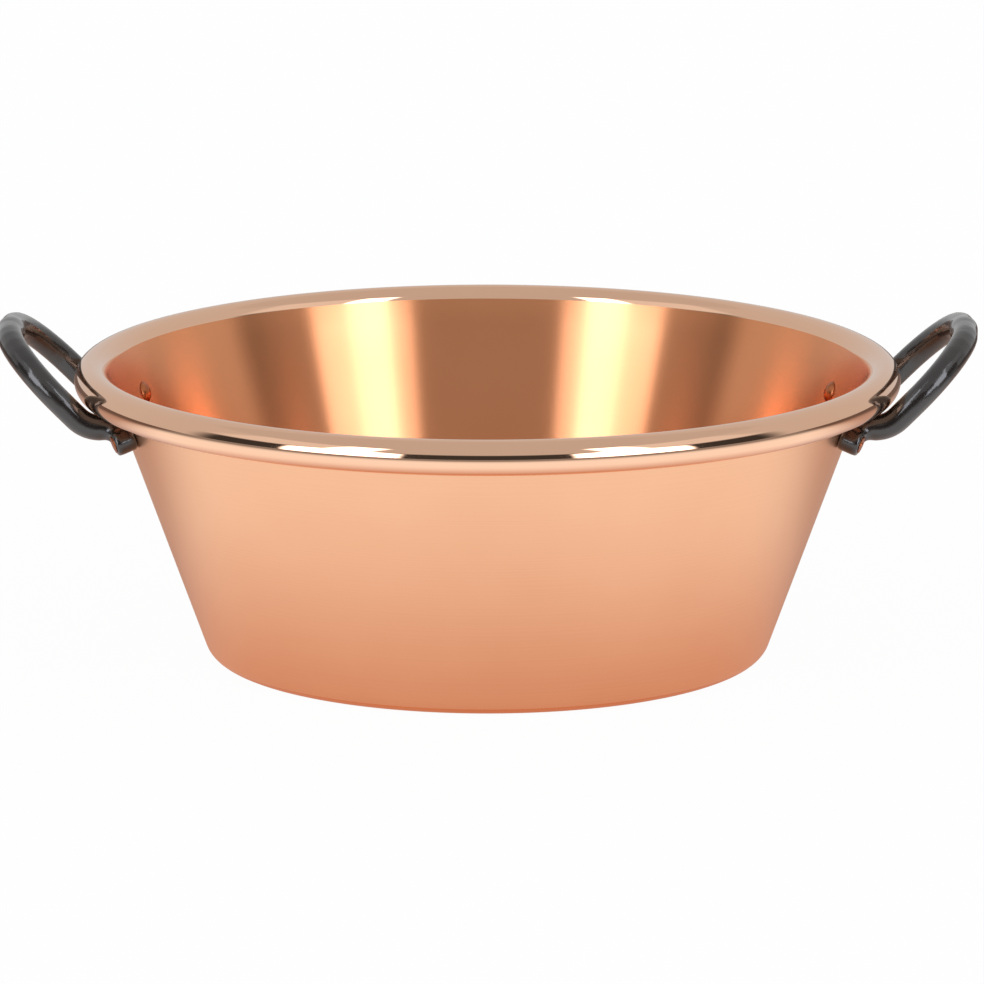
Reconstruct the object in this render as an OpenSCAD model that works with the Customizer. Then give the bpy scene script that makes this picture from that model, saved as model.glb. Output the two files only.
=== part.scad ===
// Copper jam pan: a wide open pan with sloping sides, a rolled rim and two riveted loop handles.
// Millimetres, +Z up. The origin is the middle of the flat base, and the handles point along X.

/* [Pan] */
// Diameter over the rolled rim
rim_d = 380; // [320:1:440]
// Height from the base to the top of the rim
pan_h = 138; // [115:1:170]
// Diameter of the base where wall and base would meet without the rounded corner
base_d = 256; // [220:1:280]
// Thickness of the copper sheet
sheet_t = 1.5; // [1:0.1:2.5]
// Outside radius of the bend between base and wall
corner_r = 10; // [6:1:20]

/* [Rolled rim] */
// Outside diameter of the hollow roll
roll_d = 16; // [13:0.5:18]
// Gap between the curled edge and the wall
roll_seam = 0.8; // [0.4:0.1:1.5]

/* [Handles] */
// Distance between the middles of a handle's two arms
arm_span = 90; // [82:1:104]
// Angle of the loop above the horizontal
loop_tilt = 45; // [35:1:60]
// Length of the loop from where it leaves the rim to the middle of the grip
loop_len = 45; // [41:1:60]
// Bend radius of the loop's two corners
loop_bend = 36; // [24:1:38]
// Thickness of an arm, square to the loop
arm_t = 12; // [9:0.2:13]
// Width of an arm, along the rim
arm_w = 12; // [9:0.2:13]
// Thickness of the middle of the grip
grip_t = 12.8; // [9:0.2:15]
// Width of the middle of the grip
grip_w = 13.6; // [10:0.2:16]
// Air gap between an arm and the rolled rim
rim_gap = 1; // [0.5:0.1:3]

/* [Feet] */
// Distance between the two rivets of one handle
rivet_span = 100; // [92:1:116]
// Height of the rivets below the middle of the rolled rim
rivet_drop = 18; // [16:0.5:22]
// Diameter of a round foot
foot_d = 12; // [11:0.5:14]
// Length of a foot from the wall to its outer face
foot_len = 10; // [8:0.5:12]
// Rounding of the foot's outer edge
foot_round = 1.5; // [0.5:0.1:1.8]
// Thickness of an arm where it runs into its foot
root_t = 8; // [6:0.2:9]
// Gap between a foot and the wall
foot_gap = 0.05; // [0.02:0.01:0.2]

/* [Rivets] */
// Diameter of the shank
shank_d = 6; // [4:0.1:7]
// Diameter of the domed head inside the pan
head_d = 10; // [8:0.5:13]
// Height of the domed head
head_h = 2.2; // [1.5:0.1:3]
// Diameter of the hammered end in the foot
tail_d = 8; // [7.5:0.1:8.5]
// Depth of the countersink that holds the hammered end
tail_h = 1.6; // [1:0.1:2.5]
// Radial gap round the shank
rivet_gap = 0.05; // [0.02:0.01:0.2]

/* [Hidden] */
$fn = 180;

// Faces round the handle bar, and steps along each of its stretches
bar_sides = 24;
grip_steps = 6;
bend_steps = 9;
arm_steps = 3;
wrap_steps = 8;
root_steps = 6;

copper = "#DE9E74";
iron = "#2E2C2B";
rivet_copper = "#B9744A";

// Middle of the roll's cross-section
roll_r = roll_d / 2;
roll_x = rim_d / 2 - roll_r;
roll_z = pan_h - roll_r;
core_r = roll_r - sheet_t;

// The wall's outer face runs from the base corner and touches the inside of the roll
base_r = base_d / 2;
rise = norm([roll_x - base_r, roll_z]);
wall_lean = atan2(roll_x - base_r, roll_z) - asin(core_r / rise);
wall_normal = [cos(wall_lean), -sin(wall_lean)];
wall_len = sqrt(rise * rise - core_r * core_r);
// The wall and the base run this far into the bends, so that all are one sheet
lap = 0.02;
// Cutters, and solids that are trimmed later, run this far past the sheet
past = 3 * sheet_t;

// The corner bend touches the base and the wall
corner_x = base_r - corner_r * tan((90 - wall_lean) / 2);
corner_len = corner_r * tan((90 - wall_lean) / 2);

function along_wall(s) = [base_r + s * sin(wall_lean), s * cos(wall_lean)];
function wall_r(z) = base_r + z * tan(wall_lean);
function inward(p, t) = p - t * wall_normal;
function polar(r, a) = [r * cos(a), r * sin(a)];

// Angles round the roll: it starts on the wall's line and curls outwards, down and back
roll_start = 180 - wall_lean;
roll_mouth = acos((core_r - roll_seam) / roll_r);
roll_end = roll_start + roll_mouth;

// Rivet axes: height, distance out and turn about the pan's axis
rivet_z = roll_z - rivet_drop;
rivet_r = wall_r(rivet_z);
rivet_turn = asin(rivet_span / 2 / rivet_r);
tail_r = tail_d / 2;
shank_r = shank_d / 2;

// The loop handle's middle line, for the handle that points along +X
arm_v = arm_span / 2;
wrap_x = sqrt(roll_x * roll_x - arm_v * arm_v);
wrap_r = roll_r + rim_gap + arm_t / 2;
wrap_from = loop_tilt - 90;
// The arm leaves the roll just past its lowest point
wrap_to = -92;
loop_dir = [cos(loop_tilt), 0, sin(loop_tilt)];
loop_up = [-sin(loop_tilt), 0, cos(loop_tilt)];
// The arm runs on under the roll before it bends into its foot, and ends inside the foot
root_reach = 5;
root_in = foot_len / 2;

function wrap_pt(a, v) = [wrap_x + wrap_r * cos(a), v, roll_z + wrap_r * sin(a)];
loop_start = wrap_pt(wrap_from, 0);
function loop_pt(s, v) = loop_start + s * loop_dir + [0, v, 0];
function unit(p) = p / norm(p);
function mix(a, b, t) = a + (b - a) * t;
function ease(t) = t * t * (3 - 2 * t);
function curve(a, b, c, t) = mix(mix(a, b, t), mix(b, c, t), t);

root_from = wrap_pt(wrap_to, arm_v);
root_via = root_from + root_reach * [sin(wrap_to), 0, -cos(wrap_to)];
root_r = rivet_r + root_in * wall_normal[0];
root_end = [root_r * cos(rivet_turn), root_r * sin(rivet_turn), rivet_z + root_in * wall_normal[1]];

// Each station of half the bar: its place, its upward side, its width and its thickness
straight_v = arm_v - loop_bend;
half_bar = concat(
    [for (i = [0 : grip_steps - 1]) let (t = i / grip_steps)
        [loop_pt(loop_len, straight_v * t), loop_up,
            mix(grip_w, arm_w, ease(t)), mix(grip_t, arm_t, ease(t))]],
    [for (i = [0 : bend_steps - 1]) let (a = 90 - 90 * i / bend_steps)
        [loop_pt(loop_len - loop_bend + loop_bend * sin(a), straight_v + loop_bend * cos(a)),
            loop_up, arm_w, arm_t]],
    [for (i = [0 : arm_steps - 1]) let (t = i / arm_steps)
        [loop_pt((loop_len - loop_bend) * (1 - t), arm_v), loop_up, arm_w, arm_t]],
    [for (i = [0 : wrap_steps - 1]) let (a = mix(wrap_from, wrap_to, i / wrap_steps))
        [wrap_pt(a, arm_v), [-cos(a), 0, -sin(a)], arm_w, arm_t]],
    [for (i = [0 : root_steps]) let (t = i / root_steps)
        [curve(root_from, root_via, root_end, t), [0, 0, 1],
            mix(arm_w, root_t, ease(t)), mix(arm_t, root_t, ease(t))]]);

function other_side(s) = [[s[0][0], -s[0][1], s[0][2]], s[1], s[2], s[3]];
last = len(half_bar) - 1;
bar = concat([for (i = [last : -1 : 1]) other_side(half_bar[i])], half_bar);

function heading(i) = unit(bar[min(i + 1, len(bar) - 1)][0] - bar[max(i - 1, 0)][0]);
function bar_ring(i) = let (t = heading(i), side = unit(cross(bar[i][1], t)), up = cross(t, side))
    [for (k = [0 : bar_sides - 1]) let (a = 360 * k / bar_sides)
        bar[i][0] + side * bar[i][2] / 2 * cos(a) + up * bar[i][3] / 2 * sin(a)];

// Part of a ring between two angles, up to 180 degrees apart
module arc_band(outer, inner, from, to) {
    mid = (from + to) / 2;
    far = 2 * outer;
    intersection() {
        difference() {
            circle(outer);
            circle(inner);
        }
        polygon([[0, 0], polar(far, from), polar(2 * far, mid), polar(far, to)]);
    }
}

// One spun sheet: flat base, corner bend, straight wall and hollow rolled rim
module pan_profile() {
    foot_in = along_wall(corner_len - lap);
    wall_top = along_wall(wall_len + lap);
    square([corner_x + lap, sheet_t]);
    translate([corner_x, corner_r])
        arc_band(corner_r, corner_r - sheet_t, -90, -wall_lean);
    polygon([foot_in, wall_top, inward(wall_top, sheet_t), inward(foot_in, sheet_t)]);
    translate([roll_x, roll_z])
        difference() {
            circle(roll_r);
            circle(core_r);
            polygon([[0, 0], polar(2 * roll_r, roll_start), polar(3 * roll_r, (roll_start + roll_end) / 2),
                polar(2 * roll_r, roll_end)]);
        }
}

// Puts what follows on a rivet's axis, with +Z pointing out of the wall
module on_rivet(side) {
    rotate([0, 0, side * rivet_turn])
        translate([rivet_r, 0, rivet_z])
            rotate([0, 90 + wall_lean, 0])
                children();
}

module pan_body() {
    color(copper)
        difference() {
            rotate_extrude() pan_profile();
            for (end = [0, 180], side = [-1, 1])
                rotate([0, 0, end])
                    on_rivet(side)
                        translate([0, 0, -past])
                            cylinder(r = shank_r + rivet_gap, h = 2 * past);
        }
}

// The bar of the loop, swept with an oval section from foot to foot
module handle_bar() {
    rings = len(bar);
    points = [for (i = [0 : rings - 1]) each bar_ring(i)];
    sides = [for (i = [0 : rings - 2], k = [0 : bar_sides - 1])
        let (a = i * bar_sides + k, b = i * bar_sides + (k + 1) % bar_sides)
            [b, a, a + bar_sides, b + bar_sides]];
    first_cap = [for (k = [0 : bar_sides - 1]) k];
    last_cap = [for (k = [bar_sides - 1 : -1 : 0]) (rings - 1) * bar_sides + k];
    polyhedron(points, concat(sides, [first_cap, last_cap]), convexity = 6);
}

// A round foot with a rounded outer edge, started inside the wall and trimmed later
module foot() {
    foot_r = foot_d / 2;
    rotate_extrude()
        union() {
            translate([0, -past])
                square([foot_r, foot_len - foot_round + past]);
            square([foot_r - foot_round, foot_len]);
            translate([foot_r - foot_round, foot_len - foot_round])
                circle(foot_round);
        }
}

// The hole for a rivet, with its countersink at the foot's outer face
module foot_bore() {
    translate([0, 0, -past])
        cylinder(r = shank_r + rivet_gap, h = foot_len + 2 * past);
    translate([0, 0, foot_len - tail_h])
        cylinder(r1 = shank_r + rivet_gap, r2 = tail_r + rivet_gap, h = tail_h);
    translate([0, 0, foot_len])
        cylinder(r = tail_r + rivet_gap, h = foot_d);
}

// Everything inside the wall's outer face, grown by the gap that a foot keeps
module wall_block() {
    reach = 2 * foot_d;
    low = rivet_z - reach;
    high = rivet_z + reach;
    grow = foot_gap / cos(wall_lean);
    translate([0, 0, low])
        cylinder(r1 = wall_r(low) + grow, r2 = wall_r(high) + grow, h = high - low);
}

module handle() {
    color(iron)
        difference() {
            union() {
                handle_bar();
                for (side = [-1, 1]) on_rivet(side) foot();
            }
            for (side = [-1, 1]) on_rivet(side) foot_bore();
            wall_block();
        }
}

// Domed head inside the pan, shank through wall and foot, end hammered into the countersink
module rivet() {
    dome_r = (head_d * head_d / 4 + head_h * head_h) / (2 * head_h);
    seat = sheet_t + rivet_gap + head_d * head_d / (8 * (rivet_r - sheet_t));
    color(rivet_copper)
        union() {
            translate([0, 0, -seat - head_h])
                intersection() {
                    translate([0, 0, dome_r]) sphere(dome_r);
                    cylinder(r = head_d / 2, h = head_h);
                }
            translate([0, 0, -seat - head_h / 2])
                cylinder(r = shank_r, h = seat + head_h / 2 + foot_len);
            translate([0, 0, foot_len - tail_h])
                cylinder(r1 = shank_r, r2 = tail_r, h = tail_h);
        }
}

module right_handle() { handle(); }
module left_handle() { rotate([0, 0, 180]) handle(); }
module right_front_rivet() { on_rivet(-1) rivet(); }
module right_back_rivet() { on_rivet(1) rivet(); }
module left_front_rivet() { rotate([0, 0, 180]) on_rivet(1) rivet(); }
module left_back_rivet() { rotate([0, 0, 180]) on_rivet(-1) rivet(); }

pan_body();
left_handle();
right_handle();
left_front_rivet();
left_back_rivet();
right_front_rivet();
right_back_rivet();
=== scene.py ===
import math
import bpy
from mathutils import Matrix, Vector


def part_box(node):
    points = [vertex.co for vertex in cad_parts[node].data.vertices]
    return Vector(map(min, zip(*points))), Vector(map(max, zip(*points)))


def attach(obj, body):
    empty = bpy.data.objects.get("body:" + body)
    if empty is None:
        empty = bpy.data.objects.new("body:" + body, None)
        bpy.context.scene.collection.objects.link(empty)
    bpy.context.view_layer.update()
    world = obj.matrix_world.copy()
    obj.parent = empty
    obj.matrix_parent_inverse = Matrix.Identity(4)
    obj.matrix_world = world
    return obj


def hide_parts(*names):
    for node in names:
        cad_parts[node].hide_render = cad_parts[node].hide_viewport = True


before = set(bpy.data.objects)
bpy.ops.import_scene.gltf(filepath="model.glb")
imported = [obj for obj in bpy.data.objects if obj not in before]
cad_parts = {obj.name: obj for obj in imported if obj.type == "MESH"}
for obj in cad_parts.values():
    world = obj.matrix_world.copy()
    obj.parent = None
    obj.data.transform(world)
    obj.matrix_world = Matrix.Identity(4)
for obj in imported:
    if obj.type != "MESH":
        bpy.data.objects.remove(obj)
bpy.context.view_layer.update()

# Camera
# A long lens looks slightly down into the pan, as in the photograph. The lens, the height of the
# view and the small shift were fitted to the outlines of the rim, the wall and the base.
pan_low, pan_high = (Vector(corner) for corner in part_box("pan_body"))
rim_r = (pan_high.x - pan_low.x) / 2
pan_h = pan_high.z
view_distance = 20 * rim_r
view_rise = math.radians(12.3)
focal_px = 8232
frame_px = 984
middle_px = (487.5, 505.4)
far_clip = 50

scene = bpy.context.scene
camera_data = bpy.data.cameras.new("camera")
camera = bpy.data.objects.new("camera", camera_data)
scene.collection.objects.link(camera)
camera_data.sensor_width = 36
camera_data.lens = focal_px / frame_px * camera_data.sensor_width
camera_data.shift_x = 0.5 - middle_px[0] / frame_px
camera_data.shift_y = middle_px[1] / frame_px - 0.5
look_at = Vector((0, 0, pan_h / 2))
camera.location = look_at + view_distance * Vector((0, -math.cos(view_rise), math.sin(view_rise)))
camera.rotation_euler = (math.pi / 2 - view_rise, 0, 0)
camera_data.clip_end = far_clip
scene.camera = camera
scene.view_settings.view_transform = "Standard"


def colour(code):
    parts = [int(code[i:i + 2], 16) / 255 for i in (1, 3, 5)]
    return [c / 12.92 if c <= 0.04045 else ((c + 0.055) / 1.055) ** 2.4 for c in parts] + [1]


def add(tree, kind, settings=None, inputs=None):
    node = tree.nodes.new(kind)
    for name, value in (settings or {}).items():
        setattr(node, name, value)
    for name, value in (inputs or {}).items():
        if isinstance(value, bpy.types.NodeSocket):
            tree.links.new(value, node.inputs[name])
        else:
            node.inputs[name].default_value = value
    return node


def maths(tree, operation, a, b=0.0):
    return add(tree, "ShaderNodeMath", {"operation": operation}, {0: a, 1: b}).outputs[0]


# Studio
# A white room round the pan: two tall softboxes stand left and right of the camera and a large,
# weaker one hangs overhead. The gaps between them are dark low down, which draws the dark strips
# in the rim, and half lit higher up, where the inside of the pan mirrors them.
softbox_from = math.radians(24)
softbox_to = math.radians(58)
lean_in = math.radians(10)
side_wall_from = math.radians(86)
overhead_from = math.sin(math.radians(50))
table_to = math.sin(math.radians(-8))
edge = 0.05
gap_light = 0.05
upper_gap_from = math.sin(math.radians(24.5))
upper_front_gap_light = 0.6
upper_side_gap_light = 0.85
box_light = 4.2
box_colour = "#F3F6FF"
side_light = 0.65
overhead_light = 0.6
table_light = 0.93

world = bpy.data.worlds.new("studio")
scene.world = world
world.use_nodes = True
tree = world.node_tree
tree.nodes.clear()
direction = add(tree, "ShaderNodeTexCoord").outputs["Generated"]
axes = add(tree, "ShaderNodeSeparateXYZ", None, {0: direction})
# The angle from the camera's side of the room, alike to the left and the right
to_front = maths(tree, "MULTIPLY", axes.outputs["Y"], -1.0)
bearing = maths(tree, "ABSOLUTE", maths(tree, "ARCTAN2", axes.outputs["X"], to_front))


def step_at(value, start, width):
    rise = add(tree, "ShaderNodeMapRange", {"interpolation_type": "SMOOTHSTEP"},
               {"Value": value, "From Min": start - width / 2, "From Max": start + width / 2})
    return rise.outputs["Result"]


def blend_light(factor, below, above):
    mix = add(tree, "ShaderNodeMix", {"data_type": "FLOAT"}, {0: factor, 2: below, 3: above})
    return mix.outputs[0]


is_upper = step_at(axes.outputs["Z"], upper_gap_from, 2 * edge)
front_gap = blend_light(is_upper, gap_light, upper_front_gap_light)
side_gap = blend_light(is_upper, gap_light, upper_side_gap_light)
# The boxes are narrower at the top
leaning = maths(tree, "MULTIPLY", is_upper, lean_in)
past_near_edge = step_at(maths(tree, "SUBTRACT", bearing, leaning), softbox_from, edge)
past_far_edge = step_at(maths(tree, "ADD", bearing, leaning), softbox_to, edge)
is_low = maths(tree, "SUBTRACT", 1.0, step_at(axes.outputs["Z"], overhead_from, edge))
on_box = maths(tree, "MULTIPLY", maths(tree, "SUBTRACT", past_near_edge, past_far_edge), is_low)
round_light = blend_light(past_near_edge, front_gap, box_light)
round_light = blend_light(past_far_edge, round_light, side_gap)
round_light = blend_light(step_at(bearing, side_wall_from, 4 * edge), round_light, side_light)
round_light = blend_light(is_low, overhead_light, round_light)
round_light = blend_light(step_at(axes.outputs["Z"], table_to, edge), table_light, round_light)
seen = add(tree, "ShaderNodeLightPath").outputs["Is Camera Ray"]
daylight = add(tree, "ShaderNodeMix", {"data_type": "RGBA"},
               {0: on_box, 6: colour("#FFFFFF"), 7: colour(box_colour)})
light = add(tree, "ShaderNodeBackground", None, {"Color": daylight.outputs[2], "Strength": round_light})
white = add(tree, "ShaderNodeBackground", None, {"Color": colour("#FFFFFF"), "Strength": 1.0})
chosen = add(tree, "ShaderNodeMixShader", None, {0: seen, 1: light.outputs[0], 2: white.outputs[0]})
add(tree, "ShaderNodeOutputWorld", None, {"Surface": chosen.outputs[0]})

# Floor
# A matt white table. It is part lit from itself, so that it comes out as white as the backdrop,
# and part lit by the room, so that it keeps a soft shadow. Its glow, seen only in the copper,
# holds painted light: painted shade, darker and warmer close to the pan, which shades it and casts
# its warm copper light on it; painted shade behind the pan, where the softboxes don't reach; a
# painted pool of light around the pan, brighter than white; and dim far out.
floor_size = 6
floor_glow = 0.97
shade_middle = 0.20
shade_width = 0.20
shade_colour = "#D0A590"
behind_middle = 0.05
behind_width = 0.22
painted_behind_shade_colour = "#B9A095"
far_middle = 0.65
far_width = 0.5
far_glow = 0.3
painted_pool_glow = 1.12
bpy.ops.object.select_all(action="DESELECT")
bpy.ops.mesh.primitive_plane_add(size=floor_size, location=(0, 0, 0))
floor = bpy.context.object
floor.name = "floor"
floor_paint = bpy.data.materials.new("matt_white_table")
floor_paint.use_nodes = True
tree = floor_paint.node_tree
tree.nodes.clear()
matt = add(tree, "ShaderNodeBsdfDiffuse", None, {"Color": colour("#F4F4F4")})
spot = add(tree, "ShaderNodeNewGeometry").outputs["Position"]
out = add(tree, "ShaderNodeVectorMath", {"operation": "LENGTH"}, {0: spot}).outputs["Value"]
# Painted shade close to the pan, warmed as if by light off the copper; only reflections see it
near = add(tree, "ShaderNodeMix", {"data_type": "RGBA"},
           {0: step_at(out, shade_middle, shade_width), 6: colour(shade_colour), 7: colour("#FFFFFF")})
back = add(tree, "ShaderNodeSeparateXYZ", None, {0: spot}).outputs["Y"]
# Painted shade behind the pan, where the softboxes don't reach
is_behind = step_at(back, behind_middle, behind_width)
shade = add(tree, "ShaderNodeMix", {"data_type": "RGBA", "blend_type": "MULTIPLY"},
            {0: is_behind, 6: near.outputs[2], 7: colour(painted_behind_shade_colour)})
# A painted pool of light round the pan, brighter than white, dimming far out
mirrored_glow = blend_light(step_at(out, far_middle, far_width), painted_pool_glow, far_glow)
seen = add(tree, "ShaderNodeLightPath").outputs["Is Camera Ray"]
tint = add(tree, "ShaderNodeMix", {"data_type": "RGBA"},
           {0: seen, 6: shade.outputs[2], 7: colour("#FFFFFF")})
glow = add(tree, "ShaderNodeEmission", None,
           {"Color": tint.outputs[2], "Strength": blend_light(seen, mirrored_glow, 1.0)})
both = add(tree, "ShaderNodeMixShader", None, {0: floor_glow, 1: matt.outputs[0], 2: glow.outputs[0]})
add(tree, "ShaderNodeOutputMaterial", None, {"Surface": both.outputs[0]})
floor.data.materials.append(floor_paint)

# Pan
# One copper sheet, spun over a former: flat base, rounded corner, straight wall and a hollow
# roll whose curled edge stops just short of the wall. The roll is buffed, the outside is satin
# and the inside is brushed round and round on the lathe. The inside is also painted a deeper
# orange than the outside, as painted warm light bounced between the copper walls.
sheet_t = 0.0015
base_r = 0.128
corner_r = 0.010
roll_r = 0.008
roll_seam = 0.0008
turn_steps = 256
base_steps = 6
wall_steps = 12
bend_steps = 10
core_steps = 48
skin_steps = 72
weld = 0.00001
crease = math.radians(35)
core_r = roll_r - sheet_t
roll_x = rim_r - roll_r
roll_z = pan_h - roll_r
wall_lean = math.atan2(roll_x - base_r, roll_z) - math.asin(core_r / math.hypot(roll_x - base_r, roll_z))
corner_x = base_r - corner_r * math.tan((math.pi / 2 - wall_lean) / 2)
roll_start = math.pi - wall_lean
roll_end = roll_start + math.acos((core_r - roll_seam) / roll_r) - 2 * math.pi


def arc(middle, radius, start, end, steps):
    turns = [start + (end - start) * i / steps for i in range(steps + 1)]
    return [(middle[0] + radius * math.cos(a), middle[1] + radius * math.sin(a)) for a in turns]


def line(start, end, steps):
    return [(start[0] + (end[0] - start[0]) * i / steps, start[1] + (end[1] - start[1]) * i / steps)
            for i in range(1, steps)]


roll_middle = (roll_x, roll_z)
corner_middle = (corner_x, corner_r)
outer_bend = arc(corner_middle, corner_r, -math.pi / 2, -wall_lean, bend_steps)
inner_bend = arc(corner_middle, corner_r - sheet_t, -wall_lean, -math.pi / 2, bend_steps)
roll_core = arc(roll_middle, core_r, roll_start, roll_end, core_steps)
roll_skin = arc(roll_middle, roll_r, roll_end, roll_start, skin_steps)
outline = [(0, 0)] + line((0, 0), outer_bend[0], base_steps) + outer_bend
outline += line(outer_bend[-1], roll_core[0], wall_steps) + roll_core + roll_skin
outline += line(roll_skin[-1], inner_bend[0], wall_steps) + inner_bend
outline += line(inner_bend[-1], (0, sheet_t), base_steps) + [(0, sheet_t)]

pan_mesh = bpy.data.meshes.new("spun_pan")
count = len(outline)
pan_mesh.from_pydata([(r, 0, z) for r, z in outline], [(i, i + 1) for i in range(count - 1)], [])
pan = bpy.data.objects.new("spun_pan", pan_mesh)
scene.collection.objects.link(pan)
bpy.ops.object.select_all(action="DESELECT")
bpy.context.view_layer.objects.active = pan
pan.select_set(True)
bpy.ops.object.mode_set(mode="EDIT")
bpy.ops.mesh.select_all(action="SELECT")
bpy.ops.mesh.spin(steps=turn_steps, angle=2 * math.pi, center=(0, 0, 0), axis=(0, 0, 1))
bpy.ops.mesh.select_all(action="SELECT")
bpy.ops.mesh.remove_doubles(threshold=weld)
bpy.ops.mesh.normals_make_consistent(inside=False)
bpy.ops.object.mode_set(mode="OBJECT")
bpy.ops.object.shade_smooth_by_angle(angle=crease)


def ring_pattern(tree, pitch, depth):
    """Fine rings about the pan's axis, as a lathe leaves them, with soft breaks in their strength."""
    place = add(tree, "ShaderNodeTexCoord").outputs["Object"]
    split = add(tree, "ShaderNodeSeparateXYZ", None, {0: place})
    flat = add(tree, "ShaderNodeCombineXYZ", None, {0: split.outputs["X"], 1: split.outputs["Y"]})
    out = add(tree, "ShaderNodeVectorMath", {"operation": "LENGTH"}, {0: flat.outputs[0]})
    along = maths(tree, "ADD", out.outputs["Value"], split.outputs["Z"])
    rings = add(tree, "ShaderNodeTexNoise", {"noise_dimensions": "1D"},
                {"W": maths(tree, "DIVIDE", along, pitch), "Scale": 1.0, "Detail": 3.0})
    patches = add(tree, "ShaderNodeTexNoise", None, {"Vector": place, "Scale": 22.0, "Detail": 2.0})
    height = maths(tree, "MULTIPLY", rings.outputs["Fac"], patches.outputs["Fac"])
    return height, add(tree, "ShaderNodeBump", None,
                       {"Strength": 1.0, "Distance": depth, "Height": height}).outputs["Normal"]


def copper_finish(name, code, dark_code, roughness, pitch, depth, anisotropy):
    metal = bpy.data.materials.new(name)
    metal.use_nodes = True
    tree = metal.node_tree
    tree.nodes.clear()
    height, normal = ring_pattern(tree, pitch, depth)
    tone = add(tree, "ShaderNodeMix", {"data_type": "RGBA"},
               {0: height, 6: colour(code), 7: colour(dark_code)})
    # A quarter turn of the tangent, so that rings round the pan stretch a highlight up and down
    around = add(tree, "ShaderNodeTangent", {"direction_type": "RADIAL", "axis": "Z"})
    skin = add(tree, "ShaderNodeBsdfPrincipled", None,
               {"Base Color": tone.outputs[2], "Metallic": 1.0, "Roughness": roughness,
                "Anisotropic": anisotropy, "Anisotropic Rotation": 0.25, "Normal": normal,
                "Tangent": around.outputs[0]})
    add(tree, "ShaderNodeOutputMaterial", None, {"Surface": skin.outputs[0]})
    return metal


# Satin copper: rings 0.8 mm apart, coarser than the real polishing lines, so that they show
satin = copper_finish("satin_spun_copper", "#F5C29D", "#EAB088", 0.34, 0.0008, 0.000003, 0.3)
# Brushed copper: rings 0.5 mm apart spread each reflection up and down into a streak.
# Its deeper orange than the satin outside is painted light: warm light bounced between the copper walls.
brushed_bounce_lit = copper_finish("brushed_spun_copper_painted_bounce", "#F0A678", "#E0905F", 0.21, 0.0005, 0.0000015, 0.95)
# Buffed copper: a mirror, with only faint waves left from the curling
buffed = copper_finish("buffed_copper", "#F6C9AA", "#F2C09F", 0.05, 0.004, 0.000001, 0.0)
for metal in (satin, brushed_bounce_lit, buffed):
    pan_mesh.materials.append(metal)
outside_paint, inside_paint, roll_paint = range(3)

half_wall = base_r - sheet_t / 2 / math.cos(wall_lean)
roll_reach = 1.001 * roll_r
for face in pan_mesh.polygons:
    middle = face.center
    reach = math.hypot(middle.x, middle.y)
    on_roll = math.hypot(reach - roll_x, middle.z - roll_z) < roll_reach
    wall_side = reach - half_wall - middle.z * math.tan(wall_lean)
    is_inside = wall_side < 0 and middle.z > sheet_t / 2
    face.material_index = roll_paint if on_roll else inside_paint if is_inside else outside_paint
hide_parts("pan_body")
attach(pan, "root")

# Handles
# Two loops of cast iron, tumbled smooth and finished in glossy black. Each ends in two round feet
# that sit on the wall under the roll. The CAD shape is kept, with the casting's fillets added.
fillet_grid = 0.0007
fillet_rounds = 20
swell_share = 4.0
iron = bpy.data.materials.new("black_enamelled_cast_iron")
iron.use_nodes = True
tree = iron.node_tree
tree.nodes.clear()
spot = add(tree, "ShaderNodeTexCoord").outputs["Object"]
# Sand-cast skin under the gloss: grains about 2 mm across, low enough to ripple the highlights
grain = add(tree, "ShaderNodeTexNoise", None, {"Vector": spot, "Scale": 500.0, "Detail": 2.0})
swell = add(tree, "ShaderNodeTexNoise", None, {"Vector": spot, "Scale": 90.0, "Detail": 1.0})
swells = maths(tree, "MULTIPLY", swell.outputs["Fac"], swell_share)
skin_height = maths(tree, "ADD", grain.outputs["Fac"], swells)
cast = add(tree, "ShaderNodeBump", None, {"Strength": 1.0, "Distance": 0.00006, "Height": skin_height})
black = add(tree, "ShaderNodeMix", {"data_type": "RGBA"},
            {0: swell.outputs["Fac"], 6: colour("#13100F"), 7: colour("#28221F")})
paint = add(tree, "ShaderNodeBsdfPrincipled", None,
            {"Base Color": black.outputs[2], "Roughness": 0.22, "IOR": 1.55,
             "Coat Weight": 0.6, "Coat Roughness": 0.06, "Normal": cast.outputs[0]})
add(tree, "ShaderNodeOutputMaterial", None, {"Surface": paint.outputs[0]})


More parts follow.
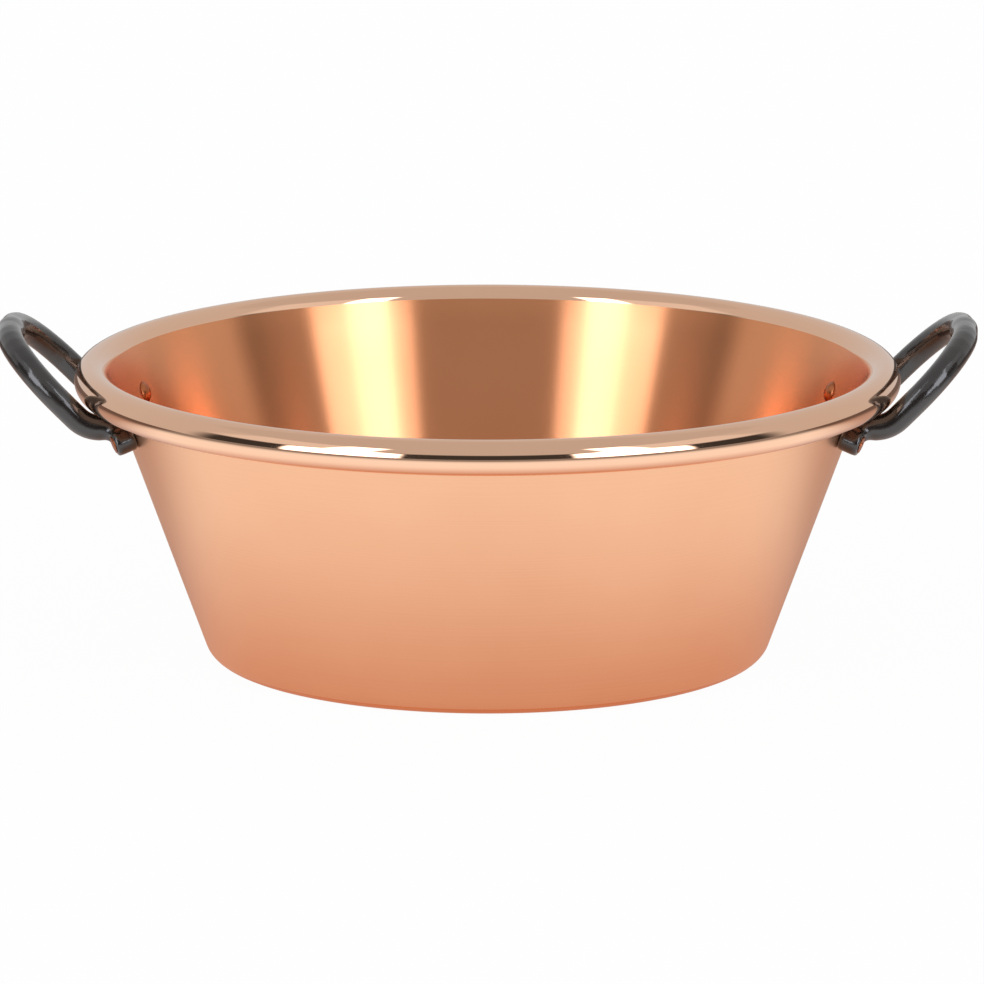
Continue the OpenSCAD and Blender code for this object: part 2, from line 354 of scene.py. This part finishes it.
def copy_of(node, name, material):
    """A separate piece with the CAD node's mesh, its triangles joined up."""
    source = bpy.data.objects[node]
    piece = bpy.data.objects.new(name, source.data.copy())
    scene.collection.objects.link(piece)
    piece.data.materials.clear()
    piece.data.materials.append(material)
    bpy.ops.object.select_all(action="DESELECT")
    bpy.context.view_layer.objects.active = piece
    piece.select_set(True)
    bpy.ops.object.mode_set(mode="EDIT")
    bpy.ops.mesh.select_all(action="SELECT")
    bpy.ops.mesh.remove_doubles(threshold=weld)
    bpy.ops.object.mode_set(mode="OBJECT")
    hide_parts(node)
    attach(piece, "root")
    return piece


for side in ("left", "right"):
    loop = copy_of(side + "_handle", side + "_loop", iron)
    remesh = loop.modifiers.new("skin", "REMESH")
    remesh.mode = "VOXEL"
    remesh.voxel_size = fillet_grid
    remesh.use_smooth_shade = True
    bpy.ops.object.modifier_apply(modifier=remesh.name)
    fillets = loop.modifiers.new("fillets", "SMOOTH")
    fillets.factor = 0.5
    fillets.iterations = fillet_rounds
    bpy.ops.object.modifier_apply(modifier=fillets.name)
    bpy.ops.object.shade_smooth()

# Rivets
# Four copper rivets. The domed heads lie inside the pan, and the ends are hammered flush into the
# feet. They are darker than the pan, because nothing buffs them after the hammer.
rivet_metal = bpy.data.materials.new("hammered_copper")
rivet_metal.use_nodes = True
tree = rivet_metal.node_tree
tree.nodes.clear()
spot = add(tree, "ShaderNodeTexCoord").outputs["Object"]
# Hammer facets about 2.5 mm across
dents = add(tree, "ShaderNodeTexVoronoi", {"feature": "SMOOTH_F1"}, {"Vector": spot, "Scale": 400.0})
beaten = add(tree, "ShaderNodeBump", None,
             {"Strength": 1.0, "Distance": 0.00012, "Height": dents.outputs["Distance"]})
tarnish = add(tree, "ShaderNodeMix", {"data_type": "RGBA"},
              {0: dents.outputs["Distance"], 6: colour("#C87A50"), 7: colour("#8E4A2C")})
head = add(tree, "ShaderNodeBsdfPrincipled", None,
           {"Base Color": tarnish.outputs[2], "Metallic": 1.0, "Roughness": 0.28,
            "Normal": beaten.outputs[0]})
add(tree, "ShaderNodeOutputMaterial", None, {"Surface": head.outputs[0]})

stud_crease = math.radians(30)
for place in ("left_front", "left_back", "right_front", "right_back"):
    stud = copy_of(place + "_rivet", place + "_stud", rivet_metal)
    bpy.ops.object.shade_smooth_by_angle(angle=stud_crease)
